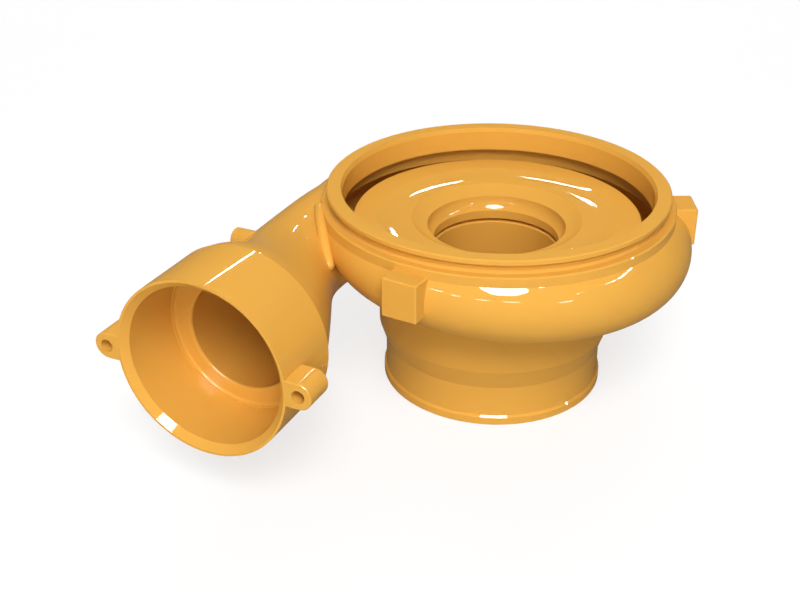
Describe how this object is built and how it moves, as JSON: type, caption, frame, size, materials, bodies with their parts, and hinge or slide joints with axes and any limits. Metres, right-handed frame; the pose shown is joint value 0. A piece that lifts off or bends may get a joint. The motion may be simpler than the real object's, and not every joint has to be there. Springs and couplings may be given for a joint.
{
  "type": "turbocharger compressor housing",
  "caption": "Cast snail-shaped compressor housing with a clamped seat, a volute, a socketed tangential outlet and a hose inlet.",
  "frame": {"origin": "centre of the flange face that clamps to the bearing housing, on the wheel's axis", "axes": "+Z along the wheel's axis out of the flange face, away from the inlet; the outlet leaves towards -Y and a little -X"},
  "size_m": [0.1921, 0.167, 0.0768],
  "materials": {
    "painted_casting": "gloss orange-yellow enamel over cast aluminium"
  },
  "bodies": {
    "root": {"compressor_housing": "painted_casting"}
  },
  "joints": []
}
